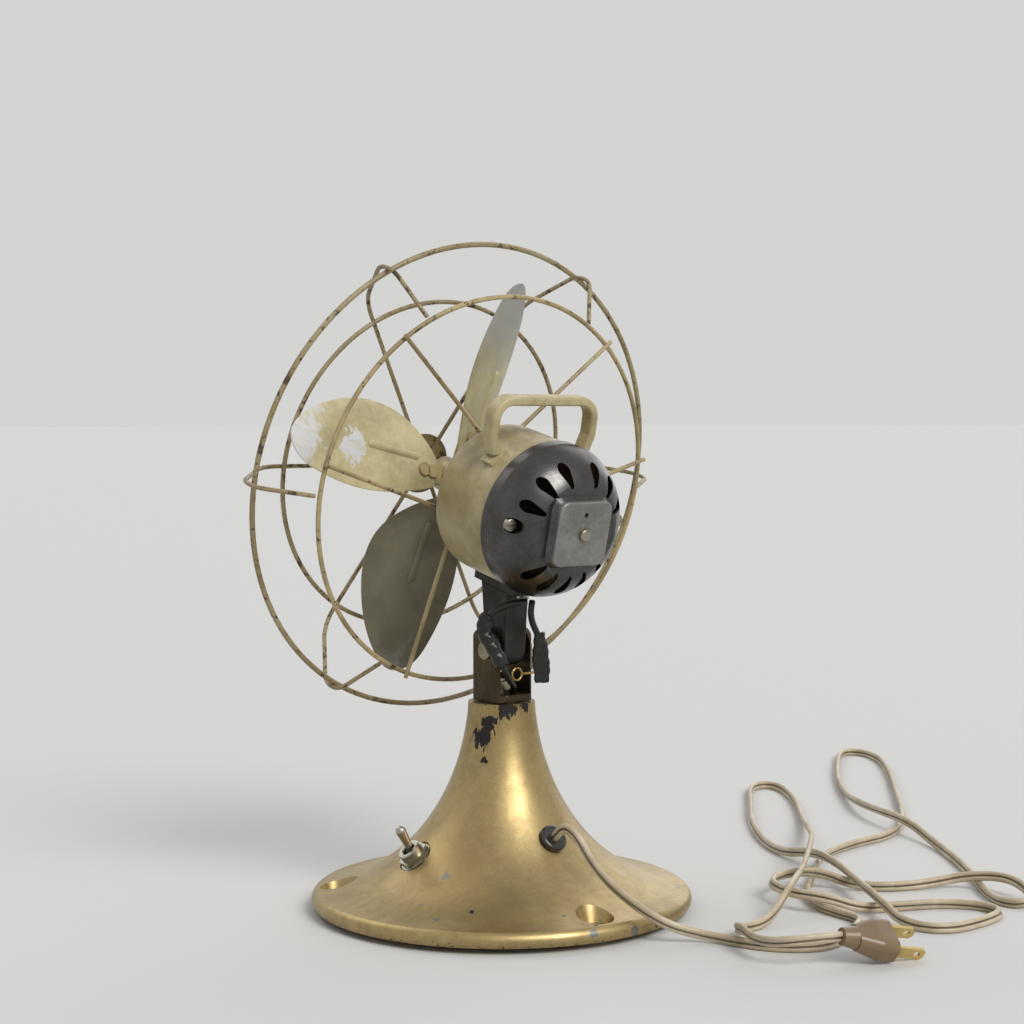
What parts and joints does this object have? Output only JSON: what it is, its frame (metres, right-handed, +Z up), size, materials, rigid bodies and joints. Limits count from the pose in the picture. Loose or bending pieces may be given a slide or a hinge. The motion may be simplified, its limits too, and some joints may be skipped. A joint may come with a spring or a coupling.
{
  "type": "electric desk fan",
  "caption": "Small mains desk fan on a trumpet base: tilting motor with a carrying handle, wire guard, pitched blades, toggle switch, and a cord lying on the table with its plug.",
  "frame": {"origin": "centre of the base's underside, on the table", "axes": "+Z up, the fan blows towards -Y, the carrying handle runs along X"},
  "size_m": [0.6106, 0.405, 0.3345],
  "materials": {
    "base_gold": "satin",
    "yoke_gold": "satin",
    "felt": "matt",
    "plate_steel": "dull",
    "nickel": "worn",
    "screw_steel": "worn",
    "black_phenolic": "satin",
    "black_rubber": "satin",
    "cord_beige": "satin",
    "plug_tan": "satin",
    "brass": "dull",
    "cast_grey": "satin",
    "cream_paint": "worn gloss",
    "dome_steel": "burnished",
    "plate_grey": "dull",
    "lamination": "dull",
    "copper_coil": "varnished",
    "bronze": "satin",
    "shaft_steel": "bright",
    "hub_metal": "worn",
    "blade_paint": "worn",
    "guard_paint": "worn"
  },
  "bodies": {
    "base": {"base_casting": "base_gold", "bottom_plate": "plate_steel", "felt_pad": "felt", "plate_screws": "screw_steel", "switch_body": "black_phenolic", "switch_bushing": "nickel", "switch_washer": "nickel", "switch_nut": "nickel", "cord_grommet": "black_rubber", "base_harness": "black_rubber", "power_cord": "cord_beige", "plug_body": "plug_tan", "plug_blades": "brass"},
    "switch": {"switch_lever": "nickel"},
    "yoke": {"yoke_bracket": "yoke_gold", "swivel_bolt": "screw_steel", "swivel_washers": "screw_steel", "swivel_nut": "screw_steel", "tilt_pin": "screw_steel", "pin_clip": "screw_steel"},
    "head": {"saddle_plate": "cast_grey", "tilt_arm": "cast_grey", "saddle_screws": "screw_steel", "motor_leads": "black_rubber", "lead_wraps": "black_rubber", "front_housing": "cream_paint", "rear_cover": "dome_steel", "cover_screws": "screw_steel", "rear_plate": "plate_grey", "stator_core": "lamination", "stator_coils": "copper_coil", "shaft_bearings": "bronze", "carry_handle": "cream_paint", "guard_outer_ring": "guard_paint", "guard_front_ring": "guard_paint", "guard_rear_ring": "guard_paint", "guard_front_disc": "guard_paint", "guard_backing": "guard_paint", "support_screws": "screw_steel", "guard_wire_1": "guard_paint", "guard_wire_2": "guard_paint", "guard_wire_3": "guard_paint", "guard_wire_4": "guard_paint", "guard_wire_5": "guard_paint", "guard_wire_6": "guard_paint", "guard_support_1": "guard_paint", "guard_support_2": "guard_paint", "guard_support_3": "guard_paint"},
    "rotor": {"rotor_core": "lamination", "motor_shaft": "shaft_steel", "shaft_collars": "shaft_steel", "blade_hub": "hub_metal", "hub_set_screw": "screw_steel", "blade_rivets": "screw_steel", "blade_1": "blade_paint", "blade_2": "blade_paint", "blade_3": "blade_paint", "blade_4": "blade_paint"}
  },
  "joints": [
    {"name": "swivel", "type": "hinge", "parent": "base", "child": "yoke", "pos_m": [0, 0, 0.109], "axis": [0, 0, 1], "range_deg": [-60, 60]},
    {"name": "head_tilt", "type": "hinge", "parent": "yoke", "child": "head", "pos_m": [0, 0.003, 0.131], "axis": [1, 0, 0], "range_deg": [-30, 20], "deforming": ["motor_leads", "lead_wraps"]},
    {"name": "blade_spin", "type": "hinge", "parent": "head", "child": "rotor", "pos_m": [0, -0.0359, 0.2148], "axis": [0, -0.9724, 0.2334], "continuous": true},
    {"name": "switch_throw", "type": "hinge", "parent": "base", "child": "switch", "pos_m": [0.04981, -0.00611, 0.0315], "axis": [0.1219, 0.9925, 0], "range_deg": [0, 26]}
  ]
}
